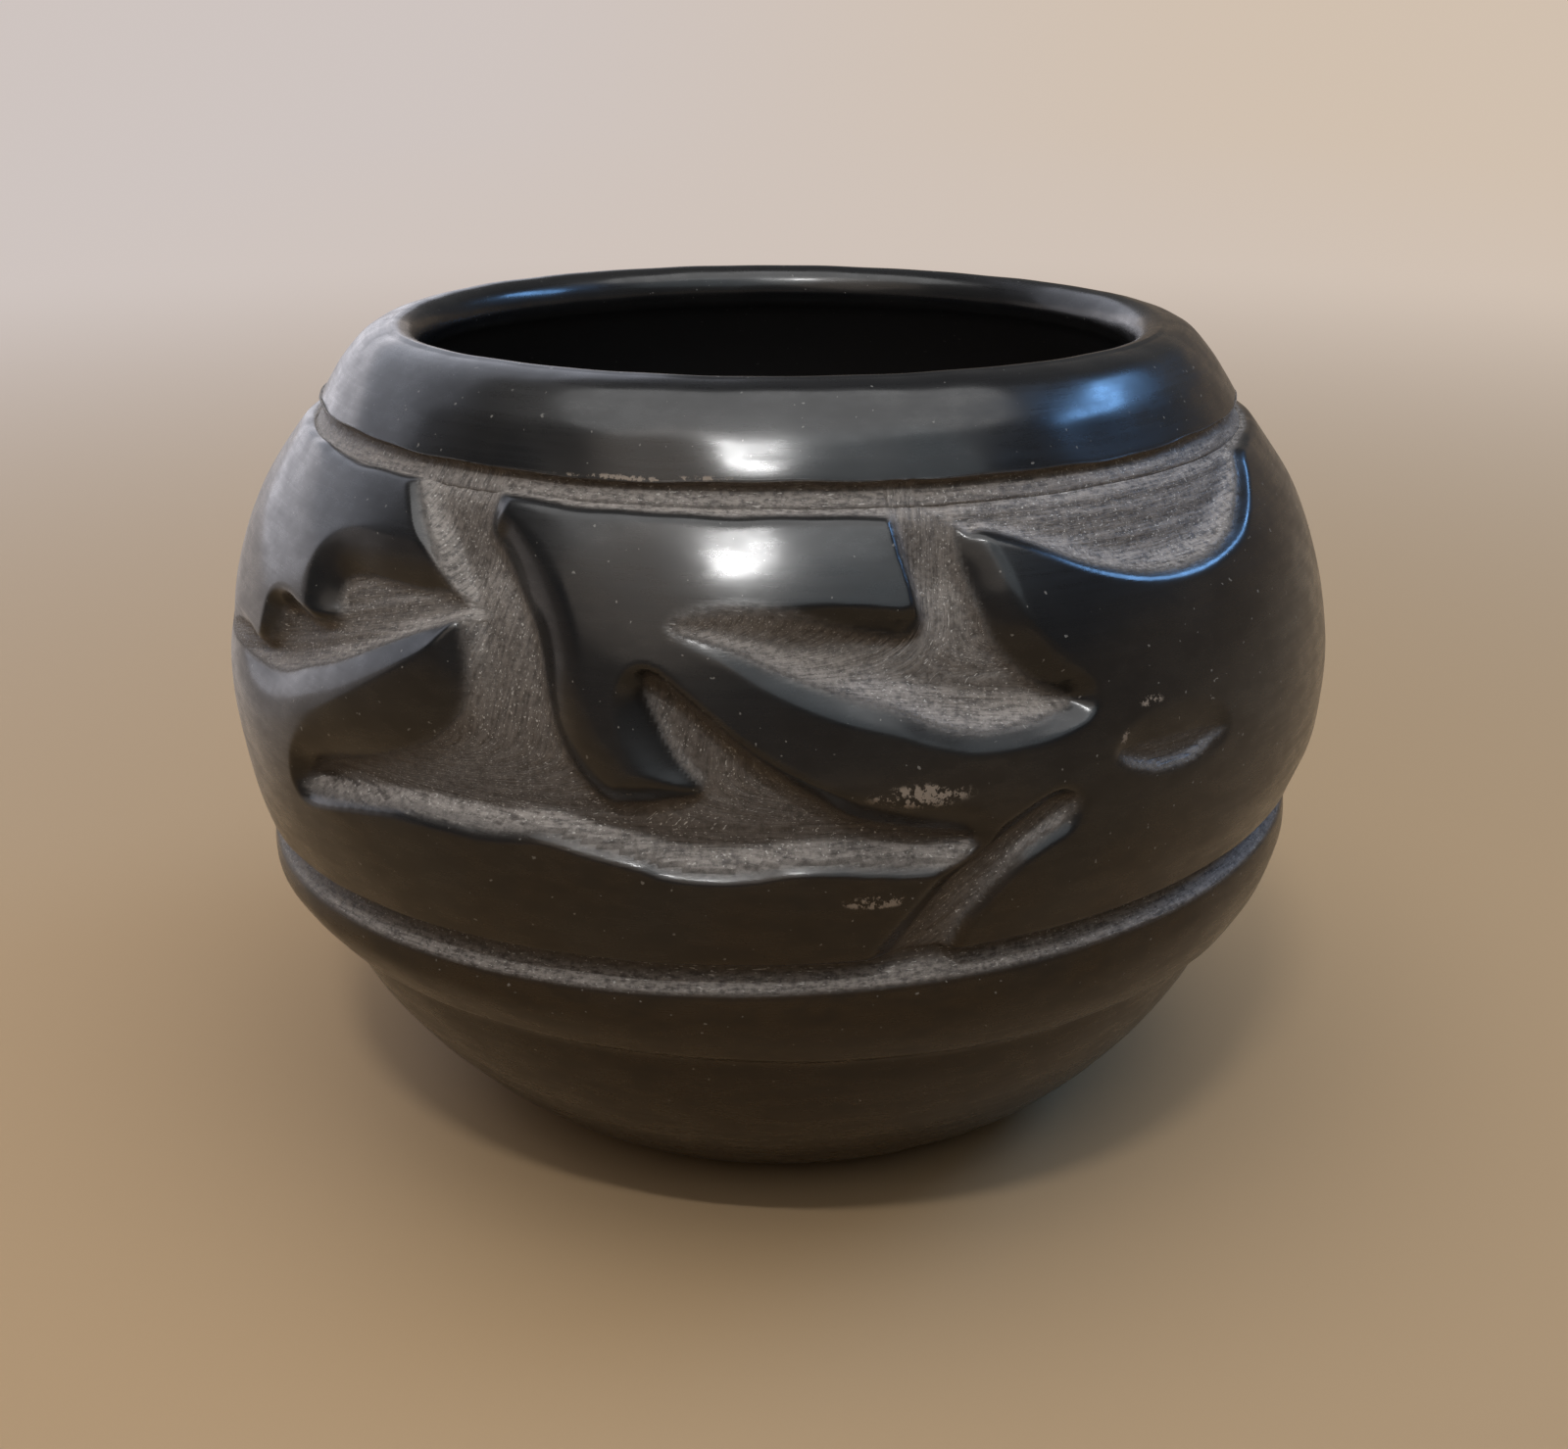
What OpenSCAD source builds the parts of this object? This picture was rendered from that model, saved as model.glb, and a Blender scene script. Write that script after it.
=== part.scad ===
// Blackware bowl, coil built: a moulded base, five wall coils and a rim coil.
// Each coil is a ring of clay that laps over the one below on a slanted joint.
// The belly and the shoulder are carved after the coils are joined.
// The axis is Z, the table is z = 0, and the side of the main panel faces -Y.

/* [Overall] */
// Greatest outside diameter, at the belly
belly_diameter = 130; // [120:1:140]
// Height from the table to the top of the lip
bowl_height = 94; // [90:1:98]

/* [Foot and base] */
// Diameter of the flat that the bowl rests on
foot_diameter = 60; // [56:1:64]
// Thickness of the clay at the middle of the floor
floor_thickness = 7; // [5:0.5:9]

/* [Middle ring] */
// Height of the underside of the middle ring
ring_height = 29.5; // [28:0.5:31]
// How far the middle ring stands out from the hollow under it
ring_step = 2.8; // [2:0.2:4]
// Height of the groove between the middle ring and the belly
groove_height = 40; // [39:0.5:41]
// Width of that groove
groove_width = 3.4; // [2.4:0.2:4]
// Depth of that groove
groove_depth = 2; // [1:0.2:3]

/* [Rim] */
// Height of the lower edge of the collar
collar_height = 85.6; // [85:0.2:86.4]
// Diameter of the collar at its lower edge
collar_diameter = 106; // [104:1:108]
// Depth of the groove that the collar overhangs
collar_undercut = 2.2; // [1:0.2:3]
// Diameter of the lip, along its highest line
lip_diameter = 88; // [86:1:90]
// Diameter of the mouth at its narrowest
mouth_diameter = 80.8; // [78:0.2:83]

/* [Carving] */
// Depth of the deepest cuts in the belly, measured level
carving_depth = 3.2; // [2:0.2:3.6]
// How many times the carved group comes round the bowl
carving_groups = 2; // [1:1:2]

/* [Wall] */
// Thickness of the wall at the belly, measured level
wall_thickness = 7.6; // [6:0.2:9]
// How much higher a lap joint is inside the bowl than outside
lap_rise = 4; // [3:0.5:5]

/* [Hidden] */
$fn = 180;

// Colours of the polished clay and of the coils that are carved
burnished_clay = "#26252a";
carved_clay = "#35312d";

// Straight pieces that stand for one stretch between two points of a curve
steps = 5;

belly_r = belly_diameter / 2;
foot_r = foot_diameter / 2;
collar_r = collar_diameter / 2;
lip_r = lip_diameter / 2;
mouth_r = mouth_diameter / 2;

// Radii of the middle ring and of the groove's floor above it
ring_r = belly_r - 2.8;
groove_floor_r = ring_r - groove_depth;
groove_low = groove_height - groove_width / 2;
groove_high = groove_height + groove_width / 2;
under_ring_r = belly_r - 5.6 - ring_step;
groove_slope_top = groove_low + 0.9 * groove_depth;

// Heights of the outside ends of the joints inside the base and the belly
base_joint = 12;
belly_joint_low = 55;
belly_joint_high = 69.5;

// Outside of the lower body, from the foot to the hollow under the ring.
// The base ends at the third point after the foot.
lower_body = [
    [foot_r, 0],
    [foot_r + 4.6, 1.6],
    [foot_r + 11.4, 6],
    [foot_r + 17.4, base_joint],
    [foot_r + 22, 18],
    [under_ring_r - 1.6, 23.5],
    [under_ring_r, ring_height - 1.8]
];

// Outside of the middle ring, from its underside to the groove's floor
ring_body = [
    [belly_r - 5.6, ring_height],
    [ring_r - 1, ring_height + 3],
    [ring_r, ring_height + 6.5],
    [ring_r - 0.2, groove_low]
];

// Outside of the belly, from the groove to the shoulder's top edge.
// Two of these points are the outside ends of the joints.
belly_body = [
    [ring_r + 0.4, groove_high],
    [belly_r - 0.8, 47.5],
    [belly_r, belly_joint_low],
    [belly_r - 0.5, 62],
    [belly_r - 2.3, belly_joint_high],
    [belly_r - 5, 76],
    [belly_r - 9.2, 82.2]
];

// Outside of the rim, from the collar's lower edge over the lip to the mouth
rim_body = [
    [collar_r, collar_height],
    [collar_r - 0.7, collar_height + 2.2],
    [collar_r - 2.8, bowl_height - 3.7],
    [lip_r + 3, bowl_height - 0.8],
    [lip_r, bowl_height],
    [lip_r - 2.4, bowl_height - 0.8],
    [mouth_r, bowl_height - 3]
];
undercut_r = collar_r - collar_undercut;
ledge = [belly_r - 11.8, collar_height - 2];

// Inside of the bowl from the middle of the floor to the mouth.
// Every second point after the floor is the inside end of a joint.
inner_belly_r = belly_r - wall_thickness;
inner_body = [
    [0, floor_thickness],
    [18, floor_thickness + 0.5],
    [31.5, floor_thickness + 3.6],
    [inner_belly_r - 16, base_joint + lap_rise + 1],
    [inner_belly_r - 11.2, 24],
    [inner_belly_r - 7.5, ring_height + 1.5],
    [inner_belly_r - 4.2, 38],
    [inner_belly_r - 2, groove_high + lap_rise],
    [inner_belly_r - 0.4, 52],
    [inner_belly_r, belly_joint_low + lap_rise],
    [inner_belly_r - 0.8, 66],
    [inner_belly_r - 3.2, belly_joint_high + lap_rise],
    [inner_belly_r - 7.6, 80.5],
    [mouth_r + 3.6, bowl_height - 7],
    [mouth_r, bowl_height - 3]
];

// Outlines of the cuts, as points of degrees round from -Y and height.
// The channel runs down from the ledge, spreads along the belly and sends up a notch.
channel_outline = [
    [-40, 86], [-37, 80], [-31.6, 73.8], [-30, 70], [-32.5, 62.5], [-43, 56.8], [-50.6, 52.2],
    [-49.8, 50.6], [-40, 52.4], [-22, 54.7], [-14, 53.4], [-8, 52.1], [3, 53.4], [14, 52.2],
    [22.5, 55.2], [12, 56.4], [3.5, 58.6], [-4, 65], [-10.8, 70.6], [-10, 65.5], [-7.2, 59.4],
    [-12.3, 57.5], [-17.6, 61.5], [-20.8, 70], [-25.3, 79], [-29, 86]
];
// The recess to the left, with pointed teeth that hang into it
toothed_outline = [
    [-34, 74.4], [-42, 75.4], [-48.8, 75], [-48.3, 71.2], [-55, 71.8], [-58.6, 66.9],
    [-63, 70.2], [-67.6, 66.3], [-73, 69.8], [-78, 66.2], [-85, 69.6], [-90.5, 66.8],
    [-100, 70.6], [-110, 72.4], [-98, 66.6], [-81, 64.5], [-66, 64.3], [-52, 66.4]
];
// The pointed crescent under the main panel, with a stem up to the ledge
crescent_outline = [
    [-8.3, 75], [-4, 75.9], [11.2, 74.4], [12.6, 77], [11.4, 82.4], [11, 86], [17.6, 86],
    [18.2, 78.5], [23.5, 70.7], [26.6, 67.3], [18, 64.3], [7, 66.4]
];
// The slanting slit that rises out of the groove, and the small leaf beside it
slit_outline = [
    [26.2, 57.4], [20, 49], [14.4, 40], [10.6, 40], [14.5, 48], [22.5, 55.2]
];
leaf_outline = [
    [30.2, 61.2], [36.5, 58.2], [44, 60.4], [38, 61.4]
];
// The scoop under the collar
scoop_outline = [
    [20.5, 86], [21.5, 82], [29.5, 77.7], [40, 75.2], [52, 77], [59.8, 81], [62, 86]
];

// A smooth curve through the points p, with steps pieces to a stretch
function on_curve(a, b, c, d, t) =
    0.5 * (2 * b + (c - a) * t + (2 * a - 5 * b + 4 * c - d) * t * t
           + (3 * b - a - 3 * c + d) * t * t * t);
function curve(p) = [
    for (i = [0 : len(p) - 2]) for (j = [0 : steps - 1])
        on_curve(p[max(i - 1, 0)], p[i], p[i + 1], p[min(i + 2, len(p) - 1)], j / steps),
    p[len(p) - 1]
];

// The stretch of the smooth curve through p from its point a to its point b
function stretch(p, a, b) = let (c = curve(p)) [for (i = [a * steps : b * steps]) c[i]];
function backwards(p) = [for (i = [len(p) - 1 : -1 : 0]) p[i]];

// A closed smooth curve through the points p, with two pieces to a stretch
function closed_curve(p) = let (n = len(p)) [
    for (i = [0 : n - 1]) for (t = [0, 0.5])
        on_curve(p[(i + n - 1) % n], p[i], p[(i + 1) % n], p[(i + 2) % n], t)
];

// Radius of the uncut belly at a height
function belly_r_at(z) = lookup(z, [for (p = belly_body) [p[1], p[0]]]);

// A ring of clay whose section runs up the outside and down the inside
module coil(outside, inside)
    rotate_extrude() polygon(concat(outside, backwards(inside)));

// The clay that a cut can take: all that lies outside the belly drawn in by depth.
// At the top its floor meets the ledge just below the collar.
module rind(depth) {
    outer_r = belly_r + 4;
    bottom = groove_height - 4;
    top = collar_height + 1;
    rotate_extrude() polygon(concat(
        [[belly_body[0][0] - depth, bottom]],
        [for (p = belly_body) [p[0] - depth, p[1]]],
        [[undercut_r + 0.5, top], [outer_r, top], [outer_r, bottom]]));
}

// A cut of one outline, driven straight in from the middle of its width
module cut(outline, depth) {
    degrees = [for (p = outline) p[0]];
    middle = (min(degrees) + max(degrees)) / 2;
    intersection() {
        rotate([90, 0, middle]) linear_extrude(height = belly_r + 5) polygon([
            for (p = closed_curve(outline)) [(belly_r_at(p[1]) - depth / 2) * sin(p[0] - middle), p[1]]
        ]);
        rind(depth);
    }
}

// The same cut in every carved group
module cuts(outline, depth)
    for (i = [0 : carving_groups - 1]) rotate([0, 0, 180 * i]) cut(outline, depth);

module channel() cuts(channel_outline, carving_depth);
module toothed_recess() cuts(toothed_outline, 0.75 * carving_depth);
module crescent() cuts(crescent_outline, 0.95 * carving_depth);
module slit() cuts(slit_outline, 0.55 * carving_depth);
module leaf() cuts(leaf_outline, 0.45 * carving_depth);
module scoop() cuts(scoop_outline, 0.9 * carving_depth);

// The base, pressed in a mould: a dished round pat with a flat foot
module base_pat() color(burnished_clay)
    coil(concat([[0, 0]], stretch(lower_body, 0, 3)), stretch(inner_body, 0, 3));

// The coil between the base and the middle ring, hollowed under the ring
module lower_wall_coil() color(burnished_clay)
    coil(stretch(lower_body, 3, 6), stretch(inner_body, 3, 5));

// The plain raised ring, with the groove's floor at its top
module middle_ring_coil() color(burnished_clay)
    coil(concat([[under_ring_r, ring_height - 1.8]], curve(ring_body),
                [[groove_floor_r, groove_slope_top], [groove_floor_r, groove_high - 0.4]]),
         stretch(inner_body, 5, 7));

// The carved belly, in two coils, and the carved shoulder that ends in a ledge
module lower_belly_coil() color(carved_clay) difference() {
    coil(concat([[groove_floor_r, groove_high - 0.4]], stretch(belly_body, 0, 2)),
         stretch(inner_body, 7, 9));
    channel();
    slit();
}
module upper_belly_coil() color(carved_clay) difference() {
    coil(stretch(belly_body, 2, 4), stretch(inner_body, 9, 11));
    channel();
    toothed_recess();
    crescent();
    slit();
    leaf();
}
module shoulder_coil() color(carved_clay) difference() {
    coil(concat(stretch(belly_body, 4, 6), [ledge, [undercut_r, collar_height - 0.6]]),
         stretch(inner_body, 11, 13));
    channel();
    toothed_recess();
    crescent();
    scoop();
}

// The collar and lip, which lean inwards to the mouth
module rim_coil() color(burnished_clay)
    coil(concat([[undercut_r, collar_height - 0.6]], curve(rim_body)),
         stretch(inner_body, 13, 14));

base_pat();
lower_wall_coil();
middle_ring_coil();
lower_belly_coil();
upper_belly_coil();
shoulder_coil();
rim_coil();
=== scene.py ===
"""Looks of the blackware bowl: burnished black clay with a carved, unpolished ground.

The wall is one surface of revolution, worked out in millimetres along its section and
pushed in where the belly is carved. It is cut into the same clay pieces as the solids.
"""
import math

import bpy
import numpy as np
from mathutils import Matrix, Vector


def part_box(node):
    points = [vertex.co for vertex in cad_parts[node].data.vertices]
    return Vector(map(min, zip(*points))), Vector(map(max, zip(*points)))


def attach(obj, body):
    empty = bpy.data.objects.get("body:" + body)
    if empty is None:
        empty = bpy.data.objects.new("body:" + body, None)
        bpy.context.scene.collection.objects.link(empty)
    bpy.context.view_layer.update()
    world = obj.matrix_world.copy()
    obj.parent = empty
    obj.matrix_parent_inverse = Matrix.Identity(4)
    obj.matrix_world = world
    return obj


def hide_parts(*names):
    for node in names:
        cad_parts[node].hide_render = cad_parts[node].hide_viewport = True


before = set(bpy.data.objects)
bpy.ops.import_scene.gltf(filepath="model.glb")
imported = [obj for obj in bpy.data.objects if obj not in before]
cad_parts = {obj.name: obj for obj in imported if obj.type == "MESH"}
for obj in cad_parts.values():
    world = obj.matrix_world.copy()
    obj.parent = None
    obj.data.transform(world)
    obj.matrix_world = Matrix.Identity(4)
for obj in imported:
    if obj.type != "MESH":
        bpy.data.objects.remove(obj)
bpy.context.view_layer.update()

MM = 0.001
TINY = 1e-12

# Sizes that follow the solids, in millimetres
belly_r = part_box("upper_belly_coil")[1].x / MM
bowl_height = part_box("rim_coil")[1].z / MM
foot_r = 30.0
floor_thickness = 7.0
wall_thickness = 7.6
ring_height = 29.5
groove_low, groove_high = 38.3, 41.7
groove_depth = 2.0
collar_height = 85.6
collar_r = 53.0
collar_undercut = 1.2
lip_r = 44.0
mouth_r = 40.4
ring_r = belly_r - 2.8
under_ring_r = belly_r - 8.4
inner_r = belly_r - wall_thickness

# Section of the uncarved wall, as points (radius, height) on smooth runs that meet at corners
LOWER_BODY = [(foot_r, 0), (foot_r + 4.6, 1.6), (foot_r + 11.4, 6), (foot_r + 17.4, 12),
              (foot_r + 22, 18), (under_ring_r - 1.6, 23.5), (under_ring_r, ring_height - 1.8)]
RING_BODY = [(belly_r - 5.6, ring_height), (ring_r - 1, ring_height + 3),
             (ring_r, ring_height + 6), (ring_r - 0.2, groove_low)]
GROOVE = [(ring_r - groove_depth, groove_low + 0.9 * groove_depth),
          (ring_r - groove_depth, groove_high - 0.4)]
BELLY_BODY = [(ring_r + 0.4, groove_high), (belly_r - 0.8, 47.5), (belly_r, 55),
              (belly_r - 0.5, 62), (belly_r - 2.3, 69.5), (belly_r - 5, 76), (belly_r - 9.2, 82.2),
              (belly_r - 11.4, collar_height - 1)]
COLLAR_GROOVE = (collar_r - collar_undercut, collar_height - 0.6)
RIM_BODY = [(collar_r, collar_height), (collar_r - 1.4, collar_height + 2.3),
            (collar_r - 3.12, bowl_height - 3.6), (lip_r + 3.1, bowl_height - 0.9),
            (lip_r, bowl_height), (lip_r - 2.2, bowl_height - 0.7), (mouth_r + 0.4, bowl_height - 2),
            (mouth_r, bowl_height - 3.6)]
INNER_BODY = [(0, floor_thickness), (18, floor_thickness + 0.5), (31.5, floor_thickness + 3.6),
              (inner_r - 16, 17), (inner_r - 11.2, 24), (inner_r - 7.5, 31), (inner_r - 4.2, 38),
              (inner_r - 2, 45.7), (inner_r - 0.4, 52), (inner_r, 59), (inner_r - 0.8, 66),
              (inner_r - 3.2, 73.5), (inner_r - 7.6, 80.5), (mouth_r + 3.6, bowl_height - 7),
              (mouth_r + 0.8, bowl_height - 5), (mouth_r, bowl_height - 3.6)]
# Spacing of the section's samples, and reach of the average that rounds its corners
SECTION_STEP, CORNER_ROUNDING = 0.05, 0.3

# Joints between the clay pieces: the point outside and the point inside the bowl
JOINTS = [(LOWER_BODY[3], INNER_BODY[3]), (LOWER_BODY[6], INNER_BODY[5]),
          (GROOVE[1], INNER_BODY[7]), (BELLY_BODY[2], INNER_BODY[9]),
          (BELLY_BODY[4], INNER_BODY[11]), (COLLAR_GROOVE, INNER_BODY[13])]
# The joints that the carving crosses start this far straight in, below the deepest cut
CARVED_JOINTS = (3, 4)
LAP_DEPTH = 4.8

# Each clay piece from the foot up: node, slot, row spacing outside in millimetres
COURSES = [("base_pat", "burnished_blackware", 0.9), ("lower_wall_coil", "burnished_blackware", 0.6),
           ("middle_ring_coil", "burnished_blackware", 0.4),
           ("lower_belly_coil", "carved_blackware", 0.33), ("upper_belly_coil", "carved_blackware", 0.33),
           ("shoulder_coil", "carved_blackware", 0.33), ("rim_coil", "burnished_blackware", 0.36)]
COLUMNS = 1080
INSIDE_STEP = 2.0
# The base's rows stop this short of the axis, and a fan closes the rest
POLE_GAP = 1.5


def curve_between(a, b, c, d, steps):
    """Points from b towards c, on the cubic that leaves b along a to c and reaches c along b to d."""
    t = (np.arange(steps) / steps)[None, :, None]
    square, cube = 2 * a - 5 * b + 4 * c - d, 3 * b - a - 3 * c + d
    return 0.5 * (2 * b + (c - a) * t + square * t**2 + cube * t**3)


def smooth_run(points, steps=24):
    """A curve through the points in which each stretch leaves along the line between its neighbours."""
    p = np.asarray(points, float)
    before, after = np.vstack([p[:1], p[:-2]]), np.vstack([p[2:], p[-1:]])
    run = curve_between(before[:, None], p[:-1, None], p[1:, None], after[:, None], steps)
    return np.vstack([run.reshape(-1, 2), p[-1:]])


def soften(values, reach):
    """The values after a bell-shaped average over about reach samples, with the ends held."""
    n = int(3 * reach)
    bell = np.exp(-0.5 * (np.arange(-n, n + 1) / reach) ** 2)
    before = 2 * values[0] - values[n:0:-1]
    after = 2 * values[-1] - values[-2:-n - 2:-1]
    return np.convolve(np.concatenate([before, values, after]), bell / bell.sum(), mode="valid")


def wall_section():
    """The section as radius and height at even steps of its length, from under the foot to the floor.

    The smooth runs are joined end to end and sampled evenly, and a short bell-shaped average
    rounds the corners as a polishing stone does.
    """
    line = np.vstack([[(0, 0)], smooth_run(LOWER_BODY), smooth_run(RING_BODY), GROOVE,
                      smooth_run(BELLY_BODY), [COLLAR_GROOVE], smooth_run(RIM_BODY),
                      smooth_run(INNER_BODY)[-2::-1]])
    gap = np.hypot(*np.diff(line, axis=0).T)
    length = np.concatenate([[0], np.cumsum(gap)])
    s = np.arange(0, length[-1], SECTION_STEP)
    rounding = CORNER_ROUNDING / SECTION_STEP
    r = soften(np.interp(s, length, line[:, 0]), rounding)
    z = soften(np.interp(s, length, line[:, 1]), rounding)
    return s, np.maximum(r, 0), np.maximum(z, 0)


section_s, section_r, section_z = wall_section()
lip_at = int(np.argmax(section_z))


def place_on_section(point):
    """Length along the section of the sample nearest to a point (radius, height)."""
    return section_s[np.argmin((section_r - point[0]) ** 2 + (section_z - point[1]) ** 2)]


def length_at_height(height):
    """Length along the outside of the section at a height."""
    return np.interp(height, section_z[:lip_at], section_s[:lip_at])


# Carving, as outlines of the unpolished ground. A point gives degrees round from the front, height,
# width of the bank inside the outline and width of the polished bevel outside it.
CHANNEL = [(-41, 86, 3, 1.5), (-38, 81.9, 3, 1.2), (-35.2, 79.4, 3, 1), (-32.6, 76.8, 2.5, 0.9),
           (-30.6, 74.6, 2, 1), (-29.4, 72, 2.5, 2.2), (-28.6, 68, 3, 5.2), (-29.2, 64.6, 3, 7.4),
           (-31.7, 61.7, 3, 8.6), (-35.4, 59.4, 3, 8.4), (-41, 57, 2.5, 7), (-46, 55.2, 2, 4.6),
           (-49.3, 53.4, 1.5, 2), (-50.2, 51.7, 1.5, 1), (-48.8, 51, 1.4, 0.9), (-44.3, 51.8, 1.5, 0.9),
           (-40, 52.6, 1.5, 0.9), (-35, 53.6, 1.4, 0.9), (-30, 53.9, 1.4, 0.9), (-25.4, 53.9, 1.4, 0.9),
           (-20, 54.6, 1.4, 0.9), (-15.6, 53.8, 1.4, 0.9), (-11.5, 53, 1.5, 0.9), (-9, 52.2, 1.5, 0.9),
           (-5, 52, 1.5, 0.9), (-2, 52.3, 1.4, 0.9), (1, 52.9, 1.4, 0.9), (4.2, 53, 1.4, 0.9),
           (8, 52.6, 1.4, 0.9), (12, 52.2, 1.4, 0.9), (15, 52.4, 2, 0.8), (16.6, 53.6, 1.5, 1.5),
           (15.5, 54.8, 2, 3), (11.6, 55.6, 2, 3), (6.5, 57, 1.5, 2.5), (3.3, 59.2, 1, 1.5),
           (0.5, 61.2, 0.8, 1), (-2.3, 63.3, 0.8, 0.8), (-5, 65.7, 0.8, 0.7), (-7.8, 68.1, 0.8, 0.7),
           (-10, 69.8, 0.8, 0.7), (-11.3, 70, 0.8, 1), (-11.5, 68.8, 0.8, 2), (-10.8, 67.2, 0.8, 3),
           (-9.7, 64.8, 0.8, 3.5), (-8.3, 62.4, 0.8, 3.5), (-6.7, 60.4, 0.8, 3), (-6.8, 59.3, 0.8, 2.5),
           (-9.7, 58.5, 1, 3), (-12.4, 58, 1, 3), (-14.6, 58, 1, 4), (-16.5, 59.5, 1, 5),
           (-18.2, 61.9, 1, 5), (-19.6, 65, 1, 5), (-20.6, 68.1, 1, 5), (-21.5, 71.5, 1, 5),
           (-23, 74.7, 1, 5), (-25.2, 77.6, 1, 4.5), (-27.4, 80, 1, 3), (-29.2, 81.6, 1.2, 2),
           (-30, 86, 2, 2)]
TOOTHED_RECESS = [(-27.6, 74, 1.5, 1), (-30.4, 75.4, 1, 2), (-33.6, 75.6, 0.9, 4), (-36, 75.4, 0.8, 5),
                  (-40, 75.4, 0.8, 5), (-44.5, 75.2, 0.8, 5), (-46.9, 74.2, 0.9, 5),
                  (-47.3, 72.2, 0.9, 4), (-46.6, 70.6, 0.9, 2.8), (-48.4, 69.6, 0.9, 1),
                  (-51.3, 69.4, 0.9, 1.2), (-54.5, 69.6, 0.9, 1.5), (-57, 69, 0.9, 1.5),
                  (-57.6, 67.3, 0.9, 1.3), (-58.2, 65.6, 0.9, 1), (-59.9, 64.2, 0.9, 0.8),
                  (-63, 64.5, 0.9, 1), (-66.5, 64.6, 0.9, 1.2), (-69.5, 64, 0.9, 1.2),
                  (-71.8, 63, 0.9, 1), (-74, 63.8, 0.9, 1.5), (-78, 64.4, 0.9, 2), (-81, 63.8, 0.9, 2),
                  (-83, 62.8, 0.9, 1.5), (-86, 64.6, 0.9, 2.5), (-91, 66.4, 0.9, 3),
                  (-96, 68.4, 0.9, 3), (-100, 70, 1, 2.5), (-102, 70, 1, 2), (-98.5, 66.4, 2, 4),
                  (-93, 63.4, 2.5, 4.5), (-87, 61.6, 2.5, 4.5), (-78, 61.2, 2.5, 4), (-68, 61.6, 2, 4),
                  (-60, 61.7, 2.5, 4.6), (-55, 62.4, 2.5, 5), (-50, 64.4, 2.5, 4.8),
                  (-44.7, 66.4, 2.5, 4.4), (-40, 68.8, 2.2, 3.8), (-35, 71.2, 1.8, 2.8),
                  (-30.4, 73, 1.5, 1.2)]
CRESCENT = [(-8.8, 74.2, 4, 0.8), (-7.2, 75.2, 5, 0.6), (-3.8, 75.7, 6, 0.5), (0.6, 75.5, 4.5, 0.8),
            (4.6, 74.9, 2, 1.5), (8.7, 74.1, 0.9, 2), (11.2, 73.8, 0.8, 2.2), (12.6, 75, 0.8, 1),
            (12.3, 78, 0.8, 0.7), (11.6, 81, 0.8, 0.7), (11, 86, 1, 0.8), (17.2, 86, 1, 2),
            (17.2, 81, 1.5, 3), (17.8, 78, 1.5, 3.5), (18.6, 75.2, 1.5, 3.5), (19.6, 72.5, 1.2, 3.5),
            (21.4, 70.1, 1.2, 3.5), (23.7, 68, 1.2, 3), (26.2, 66.3, 1.2, 2), (23.3, 65.2, 3, 2),
            (20, 64.8, 3.5, 2), (16.3, 64.8, 4, 2), (13, 65.8, 4, 2), (10.2, 67.2, 4, 2.2),
            (5.1, 69, 4, 2.4), (0, 71, 4, 2), (-4.1, 72.8, 4, 1.4)]
SLIT = [(25.6, 56.9, 0.8, 0.8), (25, 54.9, 0.8, 1), (23, 53.6, 0.8, 1), (20.6, 52, 0.8, 1),
        (18.9, 49.9, 0.8, 1), (17.5, 47.7, 0.8, 1), (15.9, 45, 0.8, 1), (14, 40, 0.8, 1),
        (9.4, 40, 1.2, 2), (10.6, 43.5, 1.2, 2), (12.8, 47.4, 1.2, 2), (15, 50.7, 1.2, 2),
        (17.5, 53, 1.2, 2), (20.4, 55.3, 1.2, 1.6), (23.8, 57.4, 1, 1.2)]
LEAF = [(30.2, 60.5, 0.8, 1), (31.7, 59.2, 1, 0.6), (34.7, 58.2, 1, 0.6), (38.3, 58.2, 1, 0.6),
        (40.8, 59, 1, 0.6), (43, 60, 1, 0.8), (40, 60.6, 1.5, 3.5), (36, 60.8, 1.5, 3.5),
        (32.5, 60.9, 1.2, 2.5)]
SCOOP = [(17, 86, 1, 1.5), (18, 82, 1, 1.2), (20, 81.9, 1.2, 1.2), (23, 81.1, 1.5, 1.2),
         (26.1, 79.8, 2.5, 1.1), (30, 78.2, 3, 1.1), (35, 76.8, 3, 1.1), (39.5, 76.2, 3, 1.1),
         (43.5, 76.2, 3, 1.1), (47.5, 76.8, 3, 1.2), (51.3, 77.8, 3, 1.4), (54.5, 79.3, 2.5, 1.5),
         (58, 81, 2, 1.4), (61, 83, 1.5, 1.4), (63, 86, 1.5, 1.5)]
# Each cut: outline, depth, degrees of the tool's strokes at its top and foot, share of unpolished ground,
# and the degrees from a shallow tip to full depth with the share of the depth at that tip
NO_TIP = (-361, -360, 1)
CUTS = [(CHANNEL, 3.3, 80, 0, 1, NO_TIP), (TOOTHED_RECESS, 2.6, 16, 16, 1, (-71, -55, 0.15)),
        (CRESCENT, 3.1, 85, -8, 1, (-10, 9, 0.35)), (SLIT, 1.8, 42, 42, 1, NO_TIP),
        (LEAF, 0.9, 0, 0, 0.5, NO_TIP), (SCOOP, 2.4, 0, 0, 1, NO_TIP)]
# The whole group is cut twice, half a turn apart
GROUP_TURN = 180.0
# Radius at which the belly is unrolled, so that degrees become millimetres
UNROLL_R = 62.0
# Least width of a bank or bevel, and how far past the outline's box a cut is worked out
LEAST_WIDTH, CUT_REACH = 0.4, 7
# A bevel rounds over, by up to this much, between these widths
BEVEL_ROUNDING, WIDE_BEVEL = 0.7, (2, 5)
# Power that joins the cuts
JOIN_POWER = 8
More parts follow.
